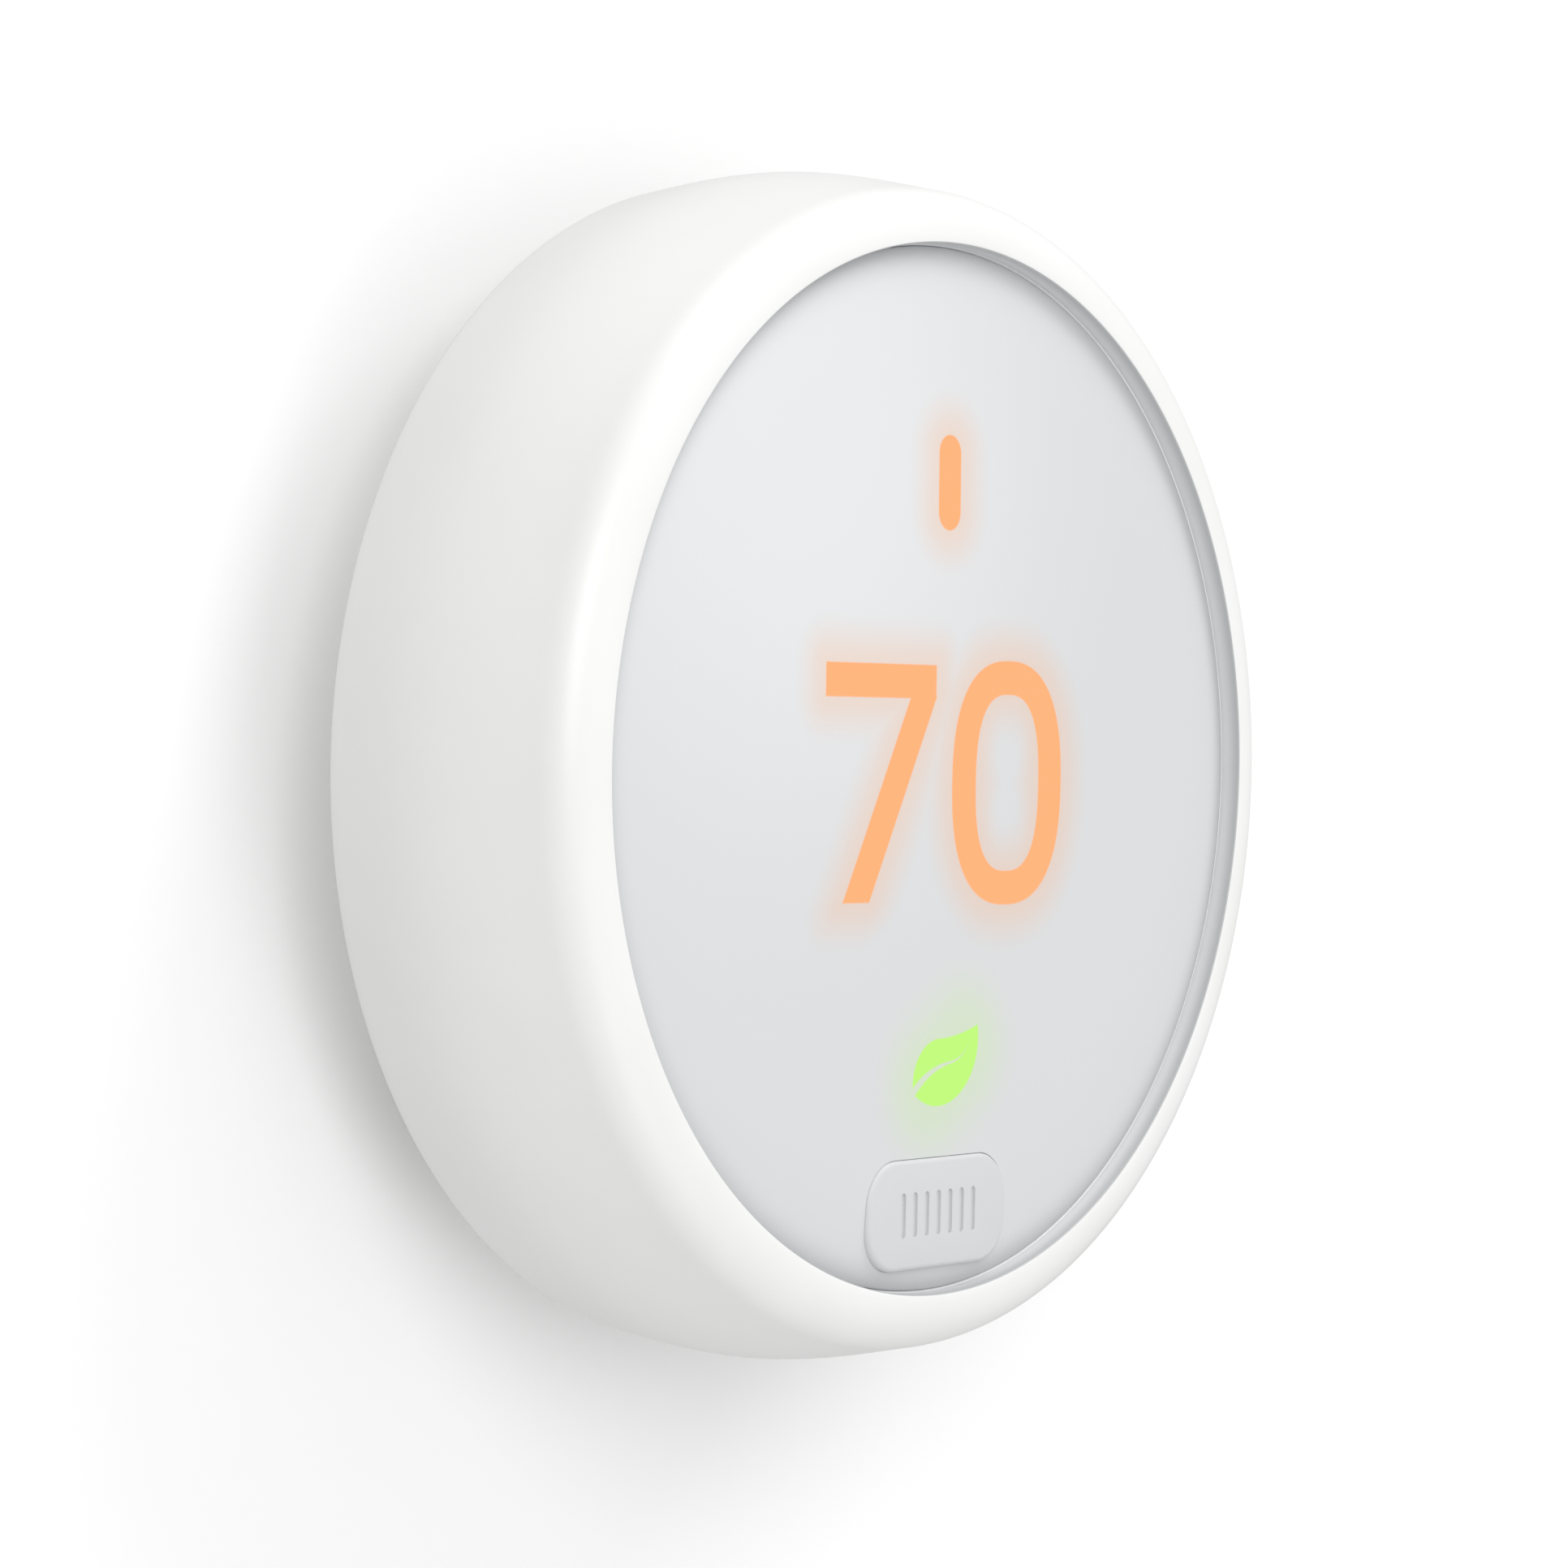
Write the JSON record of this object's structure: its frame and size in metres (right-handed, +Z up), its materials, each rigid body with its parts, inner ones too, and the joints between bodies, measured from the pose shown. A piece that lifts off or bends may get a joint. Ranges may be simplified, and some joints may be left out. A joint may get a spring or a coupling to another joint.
{
  "type": "wall thermostat",
  "caption": "Round wall thermostat: a turning outer ring around a frosted display that presses in, on a head that pulls off its wall base.",
  "frame": {"origin": "centre of the base's back face, on the wall, midway between the two wall screws", "axes": "+Z up, the display faces -Y into the room, +Y points into the wall, +X to the right as seen from the front"},
  "size_m": [0.081, 0.027, 0.081],
  "materials": {
    "ring_white": "satin",
    "lens_frost": "satin, frosted",
    "badge_grey": "matte",
    "shell_white": "fine textured",
    "inner_plastic": "matte",
    "carrier_plastic": "matte",
    "glide_plastic": "smooth",
    "circuit_board": "solder mask",
    "chip_black": "matte",
    "tin_plate": "tin plated",
    "screw_steel": "zinc plated",
    "spring_steel": "drawn wire",
    "contact_gold": "plated",
    "tab_grey": "satin",
    "block_white": "satin",
    "magnet_dark": "bonded ferrite",
    "battery_foil": "pouch foil",
    "lead_sleeve": "cable sleeve",
    "flex_amber": "polyimide film",
    "display_glass": "polished",
    "backlight_white": "diffuser film",
    "vial_clear": "clear",
    "fluid_green": "clear liquid",
    "sensor_dark": "dark window"
  },
  "bodies": {
    "base": {"base_plate": "shell_white", "base_circuit_board": "circuit_board", "base_board_screws": "screw_steel", "latch_clips": "block_white", "terminal_block_left": "block_white", "terminal_block_right": "block_white", "terminal_contacts_left": "contact_gold", "terminal_contacts_right": "contact_gold", "clamp_springs_left": "spring_steel", "clamp_springs_right": "spring_steel", "base_socket": "inner_plastic", "socket_contacts": "contact_gold", "level_vial": "vial_clear", "level_fluid": "fluid_green"},
    "head": {"back_cover": "shell_white", "cover_screws": "screw_steel", "main_chassis": "inner_plastic", "main_board": "circuit_board", "shield_cans": "tin_plate", "board_chips": "chip_black", "sounder": "chip_black", "antenna": "tin_plate", "base_plug": "inner_plastic", "plug_contacts": "contact_gold", "service_port": "tin_plate", "humidity_sensor": "backlight_white", "ring_sensor": "chip_black", "ring_sensor_flex": "flex_amber", "display_connector": "chip_black", "battery_pack": "battery_foil", "battery_connector": "backlight_white", "battery_leads": "lead_sleeve", "switch_board": "circuit_board", "press_switch": "tin_plate", "press_springs": "spring_steel"},
    "plunger": {"switch_plunger": "tab_grey"},
    "front": {"lens_carrier": "carrier_plastic", "guide_screws": "screw_steel", "glide_ring": "glide_plastic", "backlight_plate": "backlight_white", "display_panel": "display_glass", "display_frame": "inner_plastic", "display_flex": "flex_amber", "sensor_board": "circuit_board", "motion_sensor": "sensor_dark", "light_sensor": "sensor_dark", "face_lens": "lens_frost", "sensor_badge": "badge_grey"},
    "ring": {"ring_retainer": "glide_plastic", "magnet_ring": "magnet_dark", "outer_ring": "ring_white"},
    "tab_1": {"terminal_tab_1": "tab_grey"},
    "tab_2": {"terminal_tab_2": "tab_grey"},
    "tab_3": {"terminal_tab_3": "tab_grey"},
    "tab_4": {"terminal_tab_4": "tab_grey"},
    "tab_5": {"terminal_tab_5": "tab_grey"},
    "tab_6": {"terminal_tab_6": "tab_grey"}
  },
  "joints": [
    {"name": "head_pull_off", "type": "slide", "parent": "base", "child": "head", "axis": [0, -1, 0], "range_m": [0, 0.03]},
    {"name": "front_press", "type": "slide", "parent": "head", "child": "front", "axis": [0, 1, 0], "range_m": [0, 0.0006], "stiffness_N_per_m": 2500, "springref_m": -0.0006, "deforming": ["press_springs"]},
    {"name": "switch_plunger_press", "type": "slide", "parent": "head", "child": "plunger", "axis": [0, 1, 0], "range_m": [0, 0.0003]},
    {"name": "ring_turn", "type": "hinge", "parent": "front", "child": "ring", "pos_m": [0, -0.018, 0], "axis": [0, -1, 0], "continuous": true},
    {"name": "tab_1_press", "type": "slide", "parent": "base", "child": "tab_1", "axis": [0, 1, 0], "range_m": [0, 0.0016], "stiffness_N_per_m": 500, "springref_m": -0.0006},
    {"name": "tab_2_press", "type": "slide", "parent": "base", "child": "tab_2", "axis": [0, 1, 0], "range_m": [0, 0.0016], "stiffness_N_per_m": 500, "springref_m": -0.0006},
    {"name": "tab_3_press", "type": "slide", "parent": "base", "child": "tab_3", "axis": [0, 1, 0], "range_m": [0, 0.0016], "stiffness_N_per_m": 500, "springref_m": -0.0006},
    {"name": "tab_4_press", "type": "slide", "parent": "base", "child": "tab_4", "axis": [0, 1, 0], "range_m": [0, 0.0016], "stiffness_N_per_m": 500, "springref_m": -0.0006},
    {"name": "tab_5_press", "type": "slide", "parent": "base", "child": "tab_5", "axis": [0, 1, 0], "range_m": [0, 0.0016], "stiffness_N_per_m": 500, "springref_m": -0.0006},
    {"name": "tab_6_press", "type": "slide", "parent": "base", "child": "tab_6", "axis": [0, 1, 0], "range_m": [0, 0.0016], "stiffness_N_per_m": 500, "springref_m": -0.0006}
  ],
  "couplings": [
    {"joint": "switch_plunger_press", "follows": "front_press", "ratio": 0.5}
  ]
}
